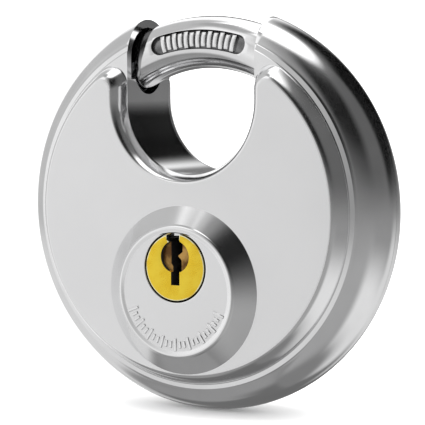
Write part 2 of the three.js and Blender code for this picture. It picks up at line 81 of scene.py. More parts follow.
# Places from the frame. Pieces are modelled in millimetres round the disc's centre, with the
# disc's axis along Y and the keyhole towards -Y, and brought into the frame when they are done.
mm = 0.001
shellLow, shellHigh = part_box("front_shell")
plugLow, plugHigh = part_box("plug")
rodLow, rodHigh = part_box("shackle")
linerLow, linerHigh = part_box("throat_liner")
discRadius = (shellHigh.x - shellLow.x) / 2 / mm
discCentre = Vector(((shellLow.x + shellHigh.x) / 2, shellHigh.y, shellLow.z + discRadius * mm))
bossFaceY = (shellLow.y - discCentre.y) / mm
plateauY = (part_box("rear_shell")[1].y - discCentre.y) / mm
plugZ = ((plugLow.z + plugHigh.z) / 2 - discCentre.z) / mm
rodRadius = (rodHigh.y - rodLow.y) / 2 / mm
rodPath = (rodHigh.z - discCentre.z) / mm - rodRadius
linerHalfDepth = (linerHigh.y - linerLow.y) / 2 / mm
linerOuter = (linerHigh.x - linerLow.x) / 2 / mm

yAxis = Vector((0, 1, 0))


# ---- shape helpers

def clockVector(radius, degrees, y=0.0):
    # clock angles start at the top and run clockwise as seen from the keyhole
    angle = math.radians(degrees)
    return Vector((radius * math.sin(angle), y, radius * math.cos(angle)))


def vertsOf(geometry):
    return [item for item in geometry if isinstance(item, bmesh.types.BMVert)]


def chain(bm, points, closed=False):
    verts = [bm.verts.new(point) for point in points]
    edges = [bm.edges.new(pair) for pair in zip(verts, verts[1:])]
    if closed:
        edges.append(bm.edges.new((verts[-1], verts[0])))
    return verts, edges


def arcFrom(bm, vert, centre, degrees, steps):
    # draws an arc about an axis along Y, and gives back its last vertex and its edges
    before = set(bm.edges)
    made = bmesh.ops.spin(
        bm, geom=[vert], cent=centre, axis=yAxis, angle=math.radians(degrees), steps=steps,
        use_merge=False, use_duplicate=False,
    )
    return vertsOf(made["geom_last"])[0], [edge for edge in bm.edges if edge not in before]


def lineTo(bm, vert, point):
    end = bm.verts.new(point)
    return end, bm.edges.new((vert, end))


def turn(bm, profile, centreX, centreZ, steps, closed):
    # spins a profile of (radius, y) about an axis along Y through (x, z)
    points = [Vector((centreX + radius, y, centreZ)) for radius, y in profile]
    verts, edges = chain(bm, points, closed)
    bmesh.ops.spin(
        bm, geom=verts + edges, cent=(centreX, 0, centreZ), axis=yAxis, angle=math.tau, steps=steps,
        use_merge=True, use_duplicate=False,
    )


def ringAt(bm, centreX, centreZ, radius, y, slack=0.01):
    # the edges of the circle of that radius at that depth
    def isOn(vert):
        reach = math.hypot(vert.co.x - centreX, vert.co.z - centreZ)
        return abs(vert.co.y - y) < slack and abs(reach - radius) < slack
    return [edge for edge in bm.edges if isOn(edge.verts[0]) and isOn(edge.verts[1])]


def fillBetween(bm, edges):
    bmesh.ops.triangle_fill(bm, use_beauty=True, use_dissolve=False, edges=edges)


def roundEdges(bm, edges, width, segments):
    bmesh.ops.bevel(
        bm, geom=edges, offset=width, offset_type="OFFSET", affect="EDGES",
        segments=segments, profile=0.5, material=-1, clamp_overlap=True,
    )


def roundEnds(bm, width, segments):
    # the ends of a swept shape are its only faces with many corners
    ends = [face for face in bm.faces if len(face.verts) > 20]
    rims = list({edge for face in ends for edge in face.edges})
    roundEdges(bm, rims, width, segments)


def tidyMesh(bm, reach=0.0005):
    bmesh.ops.remove_doubles(bm, verts=bm.verts, dist=reach)
    bmesh.ops.dissolve_degenerate(bm, edges=bm.edges, dist=reach / 5)
    bmesh.ops.recalc_face_normals(bm, faces=bm.faces)


def addMesh(bm, other):
    # joins the second bmesh to the first one
    mesh = bpy.data.meshes.new("joined")
    other.to_mesh(mesh)
    other.free()
    bm.from_mesh(mesh)
    bpy.data.meshes.remove(mesh)


def asObject(name, bm):
    mesh = bpy.data.meshes.new(name)
    bm.to_mesh(mesh)
    bm.free()
    piece = bpy.data.objects.new(name, mesh)
    bpy.context.scene.collection.objects.link(piece)
    return piece


def drumSolid(radius, frontY, backY, x, z, steps):
    bm = bmesh.new()
    made = bmesh.ops.create_cone(
        bm, cap_ends=True, segments=steps, radius1=radius, radius2=radius, depth=backY - frontY,
        matrix=Matrix.Rotation(math.pi / 2, 4, "X"),
    )
    bmesh.ops.translate(bm, vec=(x, (frontY + backY) / 2, z), verts=made["verts"])
    return bm


def subtract(bm, *cutters):
    # takes each cutter's solid away from the first one and gives back the result as a new bmesh
    body = asObject("cut_body", bm)
    tools = []
    for index, cutter in enumerate(cutters):
        tool = asObject(f"cut_tool_{index}", cutter)
        modifier = body.modifiers.new(f"cut {index}", "BOOLEAN")
        modifier.operation = "DIFFERENCE"
        modifier.solver = "EXACT"
        modifier.object = tool
        tools.append(tool)
    graph = bpy.context.evaluated_depsgraph_get()
    result = bmesh.new()
    result.from_mesh(body.evaluated_get(graph).to_mesh())
    for leftover in [body] + tools:
        mesh = leftover.data
        bpy.data.objects.remove(leftover)
        bpy.data.meshes.remove(mesh)
    bmesh.ops.remove_doubles(result, verts=result.verts, dist=0.0005)
    bmesh.ops.dissolve_degenerate(result, edges=result.edges, dist=0.0001)
    return result


pieceLook = {
    "creaseAngle": 38,
    "wearAndSheenAngle": 14,
    "narrowWidth": 0.2,
    "smallArea": 0.02,
    "evenWeight": 60,
}


def finishPiece(name, bm, looks, body, nodes):
    # brings a piece from millimetres into the frame, smooths it and ties it to its body
    s = pieceLook
    crease = math.radians(s["creaseAngle"])
    for face in bm.faces:
        face.smooth = True
    for edge in bm.edges:
        edge.smooth = len(edge.link_faces) == 2 and edge.calc_face_angle(0) < crease
    # narrow faces on outward bends get the brighter edge colour: wear, and on the plug a painted
    # highlight
    wearAndSheen = bm.faces.layers.float.new("edgeWearAndSheen")
    for face in bm.faces:
        bend = max(edge.calc_face_angle_signed(0) for edge in face.edges)
        longest = max(edge.calc_length() for edge in face.edges)
        narrow = face.calc_area() < s["narrowWidth"] * longest + s["smallArea"]
        face[wearAndSheen] = 1.0 if narrow and bend > math.radians(s["wearAndSheenAngle"]) else 0.0
    bmesh.ops.scale(bm, vec=(mm, mm, mm), verts=bm.verts)
    bmesh.ops.translate(bm, vec=discCentre, verts=bm.verts)
    piece = asObject(name, bm)
    for finish in looks:
        piece.data.materials.append(finish)
    # large faces keep their own normals, and the narrow rounds between them take up the turn
    even = piece.modifiers.new("even shading", "WEIGHTED_NORMAL")
    even.keep_sharp = True
    even.weight = s["evenWeight"]
    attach(piece, body)
    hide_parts(*nodes)
    print("made", name, len(piece.data.polygons), "faces")
    return piece


# ---- finishes

finishLooks = {
    "satinSteel": {
        "dark": (0.825, 0.825, 0.83), "light": (0.855, 0.855, 0.86), "wornAndSheen": (0.93, 0.93, 0.93),
        "metallic": 1.0, "rough": (0.32, 0.355), "grain": 4200, "stretch": (1, 1, 0.35),
        "patch": 60, "bump": 0.06, "wearAndSheen": 0.25,
    },
    "polishedSteel": {
        "dark": (0.82, 0.82, 0.825), "light": (0.90, 0.90, 0.905), "wornAndSheen": (0.95, 0.95, 0.95),
        "metallic": 1.0, "rough": (0.09, 0.14), "grain": 2600, "stretch": (1, 1, 1),
        "patch": 90, "bump": 0.012, "wearAndSheen": 0.15,
    },
    "barSteel": {
        "dark": (0.84, 0.84, 0.845), "light": (0.92, 0.92, 0.925), "wornAndSheen": (0.96, 0.96, 0.96),
        "metallic": 1.0, "rough": (0.07, 0.12), "grain": 2200, "stretch": (1, 1, 1),
        "patch": 120, "bump": 0.01, "wearAndSheen": 0.15,
    },
    "markSteel": {
        "dark": (0.86, 0.86, 0.86), "light": (0.93, 0.93, 0.93), "wornAndSheen": (0.97, 0.97, 0.97),
        "metallic": 1.0, "rough": (0.20, 0.28), "grain": 3600, "stretch": (1, 1, 1),
        "patch": 200, "bump": 0.03, "wearAndSheen": 0.3,
    },
    "panelSteel": {
        "dark": (0.10, 0.10, 0.102), "light": (0.34, 0.34, 0.345), "wornAndSheen": (0.6, 0.6, 0.6),
        "metallic": 1.0, "rough": (0.22, 0.34), "grain": 3000, "stretch": (1, 1, 1),
        "patch": 260, "bump": 0.05, "wearAndSheen": 0.3,
    },
    # the plug's pale worn colour on its rounded edges is a painted highlight along the rounds
    "plugBrass": {
        "dark": (0.84, 0.57, 0.04), "light": (0.92, 0.68, 0.065), "wornAndSheen": (1.0, 0.96, 0.62),
        "metallic": 1.0, "rough": (0.24, 0.33), "grain": 5200, "stretch": (1, 1, 1),
        "patch": 420, "bump": 0.04, "wearAndSheen": 1.0,
    },
    # darker brass for the floor of the plug's recess: the same brass as the plug face, painted in shade
    "paintedShadeBrass": {
        "dark": (0.10, 0.045, 0.012), "light": (0.46, 0.27, 0.08), "wornAndSheen": (0.6, 0.42, 0.12),
        "metallic": 0.8, "rough": (0.3, 0.45), "grain": 2400, "stretch": (1, 1, 1),
        "patch": 480, "bump": 0.06, "wearAndSheen": 0.4,
    },
    # near-black painted shade, put on the keyway and recess wall in the plug, the gap round the plug,
    # the sides of the boss marks and the front of the lock cylinder
    "paintedShadeBlack": {
        "dark": (0.006, 0.006, 0.007), "light": (0.018, 0.015, 0.012), "wornAndSheen": (0.03, 0.025, 0.02),
        "metallic": 0.2, "rough": (0.6, 0.8), "grain": 2400, "stretch": (1, 1, 1),
        "patch": 300, "bump": 0.05, "wearAndSheen": 0.2,
    },
    "bodyBrass": {
        "dark": (0.42, 0.27, 0.06), "light": (0.60, 0.42, 0.12), "wornAndSheen": (0.78, 0.62, 0.26),
        "metallic": 1.0, "rough": (0.32, 0.46), "grain": 2600, "stretch": (1, 0.2, 1),
        "patch": 160, "bump": 0.06, "wearAndSheen": 0.4,
    },
    "hardSteel": {
        "dark": (0.30, 0.305, 0.315), "light": (0.42, 0.425, 0.43), "wornAndSheen": (0.70, 0.70, 0.70),
        "metallic": 1.0, "rough": (0.24, 0.36), "grain": 2800, "stretch": (0.3, 1, 1),
        "patch": 140, "bump": 0.05, "wearAndSheen": 0.5,
    },
    "castZinc": {
        "dark": (0.24, 0.245, 0.25), "light": (0.36, 0.365, 0.37), "wornAndSheen": (0.55, 0.55, 0.56),
        "metallic": 0.9, "rough": (0.48, 0.62), "grain": 1500, "stretch": (1, 1, 1),
        "patch": 90, "bump": 0.20, "wearAndSheen": 0.5,
    },
    "springSteel": {
        "dark": (0.22, 0.22, 0.23), "light": (0.36, 0.36, 0.37), "wornAndSheen": (0.6, 0.6, 0.6),
        "metallic": 1.0, "rough": (0.22, 0.34), "grain": 6000, "stretch": (1, 1, 0.2),
        "patch": 500, "bump": 0.03, "wearAndSheen": 0.3,
    },
}


# the parts of the noise that each effect spans, and how far the grain's relief stands out
mixRanges = {
    "rubbedAndSheen": (0.35, 0.6),
    "shade": (0.35, 0.65),
    "handled": (0.3, 0.7),
    "gloss": (0.25, 0.75),
    "grainShare": 0.6,
    "reliefDepth": 0.0001,
}


def socketValue(node, name, value):
    node.inputs[name].default_value = value


def noiseNode(tree, source, scale, detail):
    noise = tree.nodes.new("ShaderNodeTexNoise")
    socketValue(noise, "Scale", scale)
    socketValue(noise, "Detail", detail)
    tree.links.new(source, noise.inputs["Vector"])
    return noise.outputs["Fac"]


def rangeNode(tree, source, fromLow, fromHigh, toLow, toHigh, kind="LINEAR"):
    ranged = tree.nodes.new("ShaderNodeMapRange")
    ranged.interpolation_type = kind
    socketValue(ranged, "From Min", fromLow)
    socketValue(ranged, "From Max", fromHigh)
    socketValue(ranged, "To Min", toLow)
    socketValue(ranged, "To Max", toHigh)
    tree.links.new(source, ranged.inputs["Value"])
    return ranged.outputs["Result"]


def feed(tree, socket, value):
    # a number or a colour is set on the socket, and another node's output is linked to it
    if isinstance(value, (int, float)):
        socket.default_value = value
    elif isinstance(value, tuple):
        socket.default_value = (*value, 1)
    else:
        tree.links.new(value, socket)


def mathNode(tree, operation, *values):
    node = tree.nodes.new("ShaderNodeMath")
    node.operation = operation
    for socket, value in zip(node.inputs, values):
        feed(tree, socket, value)
    return node.outputs["Value"]


def mixNumber(tree, factor, first, second):
    mix = tree.nodes.new("ShaderNodeMix")
    tree.links.new(factor, mix.inputs[0])
    feed(tree, mix.inputs[2], first)
    feed(tree, mix.inputs[3], second)
    return mix.outputs[0]


def mixColor(tree, factor, first, second):
    mix = tree.nodes.new("ShaderNodeMix")
    mix.data_type = "RGBA"
    tree.links.new(factor, mix.inputs[0])
    feed(tree, mix.inputs[6], first)
    feed(tree, mix.inputs[7], second)
    return mix.outputs[2]


def makeFinish(name, look):
    finish = bpy.data.materials.new(name)
    finish.use_nodes = True
    tree = finish.node_tree
    shader = tree.nodes["Principled BSDF"]
    place = tree.nodes.new("ShaderNodeTexCoord").outputs["Object"]
    along = tree.nodes.new("ShaderNodeMapping")
    socketValue(along, "Scale", look["stretch"])
    tree.links.new(place, along.inputs["Vector"])
    grain = noiseNode(tree, along.outputs["Vector"], look["grain"], 3)
    patch = noiseNode(tree, place, look["patch"], 4)
    # edges that hands and the hasp rub are brighter, unevenly; on the plug's brass this brighter edge is
    # a painted highlight along its rounds
    edge = tree.nodes.new("ShaderNodeAttribute")
    edge.attribute_name = "edgeWearAndSheen"
    rubbedAndSheen = rangeNode(tree, patch, *mixRanges["rubbedAndSheen"], 0.2, look["wearAndSheen"] * 2)
    wornAndSheenEdge = mathNode(tree, "MULTIPLY", edge.outputs["Fac"], rubbedAndSheen)
    shade = rangeNode(tree, patch, *mixRanges["shade"], 0, 1)
    base = mixColor(tree, shade, look["dark"], look["light"])
    tree.links.new(mixColor(tree, wornAndSheenEdge, base, look["wornAndSheen"]), shader.inputs["Base Color"])
    # the grain sets the gloss, and the patches shift it a little as handling does
    handled = rangeNode(tree, patch, *mixRanges["handled"], 0, 1 - mixRanges["grainShare"])
    both = mathNode(tree, "MULTIPLY_ADD", grain, mixRanges["grainShare"], handled)
    rough = rangeNode(tree, both, *mixRanges["gloss"], *look["rough"])
    tree.links.new(rough, shader.inputs["Roughness"])
    relief = tree.nodes.new("ShaderNodeBump")
    socketValue(relief, "Strength", look["bump"])
    socketValue(relief, "Distance", mixRanges["reliefDepth"])
    tree.links.new(grain, relief.inputs["Height"])
    tree.links.new(relief.outputs["Normal"], shader.inputs["Normal"])
    socketValue(shader, "Metallic", look["metallic"])
    return finish


finishes = {name: makeFinish(name, look) for name, look in finishLooks.items()}
print("finishes made:", len(finishes))


# ---- case shells

shellSizes = {
    "sheet": 1.3,
    "rimWidth": 6.4,
    "rimHalfDepth": 7.1,
    "shelfRadius": 25.5,
    "stepInner": 29.77,
    "stepOuter": 30.68,
    "stepWidth": 0.15,
    "stepDrop": 0.14,
    "stepRound": 0.03,
    "rimSteps": 26,
    "turnSteps": 160,
    "seamChamfer": 0.12,
    "cutRound": 0.18,
    "throatHalfWidth": 12.4,
}

faceSizes = {
    "baseRadius": 29.64, "topRadius": 27.6,
    "baseHalfWidth": 12.4, "topHalfWidth": 14.4,
    "baseHorn": 3.2, "topHorn": 1.7,
    "baseThroatZ": 18.5, "topThroatZ": 19.07,
    "sunk": 0.25,
    "wallSteps": 12,
    "supportWidth": 0.14,
    "hornSteps": 14,
    "discSteps": 150,
    "throatSteps": 54,
}

bossSizes = {
    "centreZ": -13.35,
    "faceRadius": 10.96,
    "baseRadius": 14.3,
    "skirt": 0.6,
    "seatRadius": 13.6,
    "lipRise": 0.15,
    "innerCone": 0.8,
    "innerFace": 0.5,
    "innerHole": 0.7,
    "holeRadius": 5.92,
    "holeRound": 0.12,
    "holeDepth": 1.5,
    "steps": 128,
}

# the rounded crest between the cone and the boss face, as steps out from the face's radius and
# back from the crest, and then the fall to the flat, as steps out and forward from the flat
crestSteps = [(0.42, 0.42), (0.30, 0.27), (0.16, 0.13), (-0.02, 0.035), (-0.20, 0), (-0.42, 0.03)]
fallSteps = [(-0.72, 0.03), (-0.92, 0), (-1.05, 0)]

markSizes = {
    "pathRadius": 8.95,
    "firstAngle": 112,
    "lastAngle": 248,
    "count": 25,
    "longHeight": 2.2,
    "shortHeight": 1.2,
    "width": 0.5,
    "sunk": 0.25,
    "round": 0.07,
}


def rimProfile():
    s = shellSizes
    rimCentre = discRadius - s["rimWidth"]
    depth = s["rimHalfDepth"]

    def edgeCurve(inset, fromAngle):
        points = []
        for step in range(s["rimSteps"] + 1):
            angle = fromAngle * (1 - step / s["rimSteps"])
            points.append((
                rimCentre + (s["rimWidth"] - inset) * math.cos(angle),
                -(depth - inset) * math.sin(angle),
            ))
        return points

    # two small steps lead from the shelf down to the rounded rim
    half = s["stepWidth"] / 2
    soft = s["stepRound"]
    startAngle = math.acos((s["stepOuter"] + half - rimCentre) / s["rimWidth"])
    outer = edgeCurve(0, startAngle)
    drop = s["stepDrop"]
    steps = [(s["shelfRadius"], -depth)]
    for middle, level in ((s["stepInner"], -depth), (s["stepOuter"], outer[0][1] - drop)):
        steps += [
            (middle - half - soft, level),
            (middle - half, level + soft),
            (middle + half - soft, level + drop - soft),
        ]
        if middle == s["stepInner"]:
            steps.append((middle + half, level + drop))
    chamfer = s["seamChamfer"]
    outer[-1] = (discRadius - chamfer * 0.3, -0.02)
    outer[-2] = (discRadius, -chamfer)
    inner = edgeCurve(s["sheet"], math.pi / 2)
    inner[-1] = (inner[-1][0], -0.02)
    return steps + outer + inner[::-1] + [(s["shelfRadius"], -depth + s["sheet"])]


def rimPiece(bm):
    s = shellSizes
    turn(bm, rimProfile(), 0, 0, s["turnSteps"], closed=True)
    # the throat is cut out of the top
    for side in (-1, 1):
        upper = [item for item in bm.verts if item.co.z > 0]
        upper += [edge for edge in bm.edges if min(vert.co.z for vert in edge.verts) > 0]
        upper += [face for face in bm.faces if min(vert.co.z for vert in face.verts) > 0]
        bmesh.ops.bisect_plane(
            bm, geom=upper, dist=0.0001, plane_co=(side * s["throatHalfWidth"], 0, 0),
            plane_no=(1, 0, 0),
        )
    cut = []
    for face in bm.faces:
        middle = face.calc_center_median()
        if abs(middle.x) < s["throatHalfWidth"] and middle.z > 0:
            cut.append(face)
    bmesh.ops.delete(bm, geom=cut, context="FACES")
    openEdges = [edge for edge in bm.edges if edge.is_boundary]
    bmesh.ops.holes_fill(bm, edges=openEdges, sides=0)
    tidyMesh(bm)
    roundEnds(bm, s["cutRound"], 2)


def faceOutline(bm, y, share, inset):
    # one ring of the raised face's wall: share runs from 0 at the foot to 1 at the flat
    s = faceSizes

    def between(first, second):
        return first + (second - first) * share

    outer = between(s["baseRadius"], s["topRadius"]) - inset
    halfWidth = between(s["baseHalfWidth"], s["topHalfWidth"]) + inset
    horn = between(s["baseHorn"], s["topHorn"]) - inset
    throatZ = between(s["baseThroatZ"], s["topThroatZ"])
    hornX = halfWidth + horn
    hornZ = math.sqrt((outer - horn) ** 2 - hornX ** 2)
    hornAngle = math.degrees(math.atan2(hornX, hornZ))
    first = bm.verts.new((halfWidth, y, hornZ))
    last, edges = arcFrom(bm, first, (hornX, y, hornZ), 90 + hornAngle, s["hornSteps"])
    last, more = arcFrom(bm, last, (0, y, 0), 360 - 2 * hornAngle, s["discSteps"])
    edges += more
    last, more = arcFrom(bm, last, (-hornX, y, hornZ), 90 + hornAngle, s["hornSteps"])
    edges += more
    last, line = lineTo(bm, last, (-halfWidth, y, throatZ))
    edges.append(line)
    last, more = arcFrom(bm, last, (0, y, throatZ), -180, s["throatSteps"])
    edges += more
    edges.append(bm.edges.new((last, first)))
    return edges


def faceSurface(bm, inset):
    # the wall round the raised face, from its foot to the flat, as rings along a quarter wave
    s = faceSizes
    foot = -shellSizes["rimHalfDepth"] + s["sunk"]
    height = plateauY - shellSizes["rimHalfDepth"]
    rings = [faceOutline(bm, foot, 0, inset)]
    for step in range(s["wallSteps"] + 1):
        share = step / s["wallSteps"]
        y = -shellSizes["rimHalfDepth"] - height * math.sin(share * math.pi / 2) + inset
        if y < foot - 0.05:
            rings.append(faceOutline(bm, y, share, inset))
    support = 1 + s["supportWidth"] / (s["topHalfWidth"] - s["baseHalfWidth"])
    rings.append(faceOutline(bm, -plateauY + inset, support, inset))
    for lower, upper in zip(rings, rings[1:]):
        bmesh.ops.bridge_loops(bm, edges=lower + upper)
    return rings[0], rings[-1]


def bossSurface(bm, inset):
    # the cone round the keyhole, its lip, its flat face and the edge turned in round the plug
    s = bossSizes
    crest = bossFaceY + inset
    top = crest + s["lipRise"]
    foot = -plateauY + inset
    base = s["baseRadius"] - inset * s["innerCone"]
    face = s["faceRadius"] - inset * s["innerFace"]
    # the outer skin reaches a little into the sheet it stands on
    footY = foot if inset else foot + s["skirt"]
    profile = [
        (base + 0.1, footY),
        (base, foot),
    ]
    profile += [(face + out, crest + back) for out, back in crestSteps]
    profile += [(face + out, top - forward) for out, forward in fallSteps]
    turn(bm, profile, 0, s["centreZ"], s["steps"], closed=False)
    outerRing = ringAt(bm, 0, s["centreZ"], *profile[0])
    innerRing = ringAt(bm, 0, s["centreZ"], profile[-1][0], top)
    hole = s["holeRadius"] + inset * s["innerHole"]
    holeEnd = bossFaceY + s["holeDepth"]
    collar = [
        (hole + s["holeRound"] + 0.1, top),
        (hole + s["holeRound"], top),
        (hole + s["holeRound"] * 0.3, top + s["holeRound"] * 0.3),
        (hole, top + s["holeRound"]),
        (hole, holeEnd),
    ]
    turn(bm, collar, 0, plugZ, s["steps"], closed=False)
    fillBetween(bm, innerRing + ringAt(bm, 0, plugZ, collar[0][0], top))
    return outerRing, ringAt(bm, 0, plugZ, hole, holeEnd)


def markBlock(bm, height):
    # one small raised bar, standing on the boss face and pointing along its radius
    s = markSizes
    bmesh.ops.create_cube(bm, size=1)
    bmesh.ops.scale(bm, vec=(s["width"], s["sunk"], height), verts=bm.verts)
    bmesh.ops.translate(bm, vec=(0, s["sunk"] / 2, 0), verts=bm.verts)
    # every edge but those round the back
    seen = [edge for edge in bm.edges if any(vert.co.y < s["sunk"] / 2 for vert in edge.verts)]
    roundEdges(bm, seen, s["round"], 1)


def bossMarks(bm):
    # a plain scale of long and short bars round the lower half of the boss
    s = markSizes
    for index in range(s["count"]):
        angle = s["firstAngle"] + (s["lastAngle"] - s["firstAngle"]) * index / (s["count"] - 1)
        single = bmesh.new()
        markBlock(single, s["longHeight"] if index % 3 == 0 else s["shortHeight"])
        place = Matrix.Translation(
            clockVector(s["pathRadius"], angle, bossFaceY) + Vector((0, 0, bossSizes["centreZ"]))
        )
        bmesh.ops.transform(
            single, matrix=place @ Matrix.Rotation(math.radians(angle), 4, "Y"), verts=single.verts,
        )
        addMesh(bm, single)


def onMarks(point):
    # whether a place is in the ring of bars, between the boss face and its crest
    s = markSizes
    away = math.hypot(point.x, point.z - bossSizes["centreZ"])
    inRing = abs(away - s["pathRadius"]) < s["longHeight"] / 2 + 0.1
    return inRing and -0.01 < point.y - bossFaceY < bossSizes["lipRise"] + 0.01


def seatRing(bm, y):
    # the round opening that the boss covers
    s = bossSizes
    place = Matrix.Translation((0, y, s["centreZ"])) @ Matrix.Rotation(math.pi / 2, 4, "X")
    bmesh.ops.create_circle(
        bm, cap_ends=False, radius=s["seatRadius"], segments=s["steps"], matrix=place,
    )
    return ringAt(bm, 0, s["centreZ"], s["seatRadius"], y)


def pressedFace(withBoss):
    bm = bmesh.new()
    rings = {"foot": [], "seat": [], "skirt": [], "hole": []}
    for inset in (0, shellSizes["sheet"]):
        foot, flat = faceSurface(bm, inset)
        rings["foot"] += foot
        if withBoss:
            seat = seatRing(bm, -plateauY + inset)
            fillBetween(bm, flat + seat)
            skirt, hole = bossSurface(bm, inset)
            rings["seat"] += seat
            rings["skirt"] += skirt
            rings["hole"] += hole
        else:
            fillBetween(bm, flat)
    for ring in rings.values():
        if ring:
            bmesh.ops.bridge_loops(bm, edges=ring)
    tidyMesh(bm)
    return bm


def shellPiece(name, nodeName, withBoss):
    bm = bmesh.new()
    rimPiece(bm)
    addMesh(bm, pressedFace(withBoss))
    if withBoss:
        bossMarks(bm)
    bm.normal_update()
    # flats keep the satin finish and the rest is polished; the side walls of the boss marks take the
    # near-black finish as painted shadow outlines, and the wall of the gap round the plug takes it as
    # painted shade
    for face in bm.faces:
        middle = face.calc_center_median()
        onBoss = abs(middle.y - bossFaceY - bossSizes["lipRise"]) < 0.01
        onFlat = abs(middle.y + plateauY) < 0.02 or onBoss
        fromPlug = math.hypot(middle.x, middle.z - plugZ)
        inGap = abs(fromPlug - bossSizes["holeRadius"]) < 0.03 and abs(face.normal.y) < 0.3
        markSide = onMarks(middle) and abs(face.normal.y) < 0.6
        if withBoss and (markSide or inGap and middle.y < bossFaceY + bossSizes["holeDepth"]):
            face.material_index = 2
        elif not (onFlat and face.normal.y < -0.99):
            face.material_index = 1
    if not withBoss:
        bmesh.ops.rotate(bm, cent=(0, 0, 0), matrix=Matrix.Rotation(math.pi, 3, "Z"), verts=bm.verts)
    finishPiece(
        name, bm, [finishes["satinSteel"], finishes["polishedSteel"], finishes["paintedShadeBlack"]],
        "case", [nodeName],
    )


shellPiece("front_shell_pressing", "front_shell", withBoss=True)
shellPiece("rear_shell_pressing", "rear_shell", withBoss=False)


# ---- throat liner

linerSizes = {
    "innerHalfWidth": 12.46,
    "topZ": 22.3,
    "edgeRound": 0.22,
    "arcSteps": 60,
    "tunnelClearance": 0.8,
    "tunnelHalfAngle": 50,
    "tunnelSteps": 60,
    "tunnelSides": 48,
    "lipRound": 0.24,
}


def rodTube(bm, radius, start, end, steps, sides):
    # a round bar bent along the shackle's circle, closed at both ends
    made = bmesh.ops.create_circle(bm, cap_ends=True, radius=radius, segments=sides)
    place = Matrix.Rotation(math.radians(start), 4, "Y") @ Matrix.Translation((0, 0, rodPath))
    place = place @ Matrix.Rotation(math.pi / 2, 4, "Y")
    bmesh.ops.transform(bm, matrix=place, verts=made["verts"])
    bmesh.ops.spin(
        bm, geom=bm.faces[:] + bm.edges[:] + made["verts"], cent=(0, 0, 0), axis=yAxis,
        angle=math.radians(end - start), steps=steps, use_merge=False, use_duplicate=False,
    )
    bmesh.ops.recalc_face_normals(bm, faces=bm.faces)


def distanceFromPath(point):
    return math.hypot(math.hypot(point.x, point.z) - rodPath, point.y)


def linerPiece():
    s = linerSizes
    bm = bmesh.new()
    throatZ = faceSizes["baseThroatZ"]
    first = bm.verts.new((-s["innerHalfWidth"], -linerHalfDepth, s["topZ"]))
    last, line = lineTo(bm, first, (-s["innerHalfWidth"], -linerHalfDepth, throatZ))
    edges = [line]
    last, more = arcFrom(bm, last, (0, -linerHalfDepth, throatZ), -180, s["arcSteps"])
    edges += more
    last, line = lineTo(bm, last, (s["innerHalfWidth"], -linerHalfDepth, s["topZ"]))
    edges.append(line)
    swept = bmesh.ops.extrude_edge_only(bm, edges=edges)
    bmesh.ops.translate(bm, vec=(0, 2 * linerHalfDepth, 0), verts=vertsOf(swept["geom"]))
    bmesh.ops.recalc_face_normals(bm, faces=bm.faces)
    # the wall grows away from the throat
    probe = min(bm.faces, key=lambda face: face.calc_center_median().z)
    if probe.normal.z < 0:
        bmesh.ops.reverse_faces(bm, faces=bm.faces)
    bmesh.ops.solidify(bm, geom=bm.faces, thickness=linerOuter - s["innerHalfWidth"])
    bmesh.ops.recalc_face_normals(bm, faces=bm.faces)
    long = [
        edge for edge in bm.edges
        if edge.calc_face_angle(0) > 1 and abs(edge.verts[0].co.y - edge.verts[1].co.y) < 0.01
    ]
    roundEdges(bm, long, s["edgeRound"], 3)
    tunnel = bmesh.new()
    reach = rodRadius + s["tunnelClearance"]
    halfAngle = s["tunnelHalfAngle"]
    rodTube(tunnel, reach, -halfAngle, halfAngle, s["tunnelSteps"], s["tunnelSides"])
    bm = subtract(bm, tunnel)
    lip = [
        edge for edge in bm.edges
        if edge.calc_face_angle(0) > 0.7
        and all(abs(distanceFromPath(vert.co) - reach) < 0.05 for vert in edge.verts)
    ]
    roundEdges(bm, lip, s["lipRound"], 2)
    bmesh.ops.recalc_face_normals(bm, faces=bm.faces)
    finishPiece(
        "throat_liner_strip", bm, [finishes["polishedSteel"]], "case", ["throat_liner"],
    )


linerPiece()


# ---- shackle

rodSizes = {
    "start": -35,
    "end": 100,
    "stepAngle": 2.5,
    "sides": 64,
    "endRound": 0.9,
    "padStart": 69,
    "padReach": 8,
    "padBack": 12,
    "panelHalfAngle": 15.1,
    "panelHalfWidth": 1.65,
    "panelOutward": 0.4,
    "panelDepth": 0.62,
    "panelRound": 0.12,
    "panelSteps": 24,
    "panelEndSteps": 12,
    "ribCount": 13,
    "ribHalfAngle": 13.6,
    "ribAngle": 1.62,
    "ribHalfHeight": 1.42,
    "shortShare": 0.86,
    "ribTop": 0.04,
    "ribSunk": 0.15,
    "ribRound": 0.1,
    "rivetRadius": 1.45,
    "rivetReach": 4.25,
    "rivetSteps": 32,
    "rivetInset": 7,
}


def panelCutter():
    # a curved slot with round ends, hollowed so that its floor follows the bar
    s = rodSizes
    path = rodPath + s["panelOutward"]
    half = s["panelHalfWidth"]
    arc = s["panelHalfAngle"]
    front = -rodRadius - 1
    bm = bmesh.new()
    axis = (0, front, 0)
    turns = [
        (axis, 2 * arc, s["panelSteps"]),
        (clockVector(path, arc, front), 180, s["panelEndSteps"]),
        (axis, -2 * arc, s["panelSteps"]),
        (clockVector(path, -arc, front), 180, s["panelEndSteps"]),
    ]
    last = bm.verts.new(clockVector(path + half, -arc, front))
    for centre, degrees, steps in turns:
        last = arcFrom(bm, last, centre, degrees, steps)[0]
    bmesh.ops.remove_doubles(bm, verts=bm.verts, dist=0.001)
    made = bmesh.ops.contextual_create(bm, geom=bm.edges[:])
    swept = bmesh.ops.extrude_face_region(bm, geom=made["faces"])
    bmesh.ops.translate(bm, vec=(0, rodRadius + 1, 0), verts=vertsOf(swept["geom"]))
    bmesh.ops.recalc_face_normals(bm, faces=bm.faces)
    core = bmesh.new()
    rodTube(core, rodRadius - s["panelDepth"], -30, 30, 40, 96)
    return subtract(bm, core)


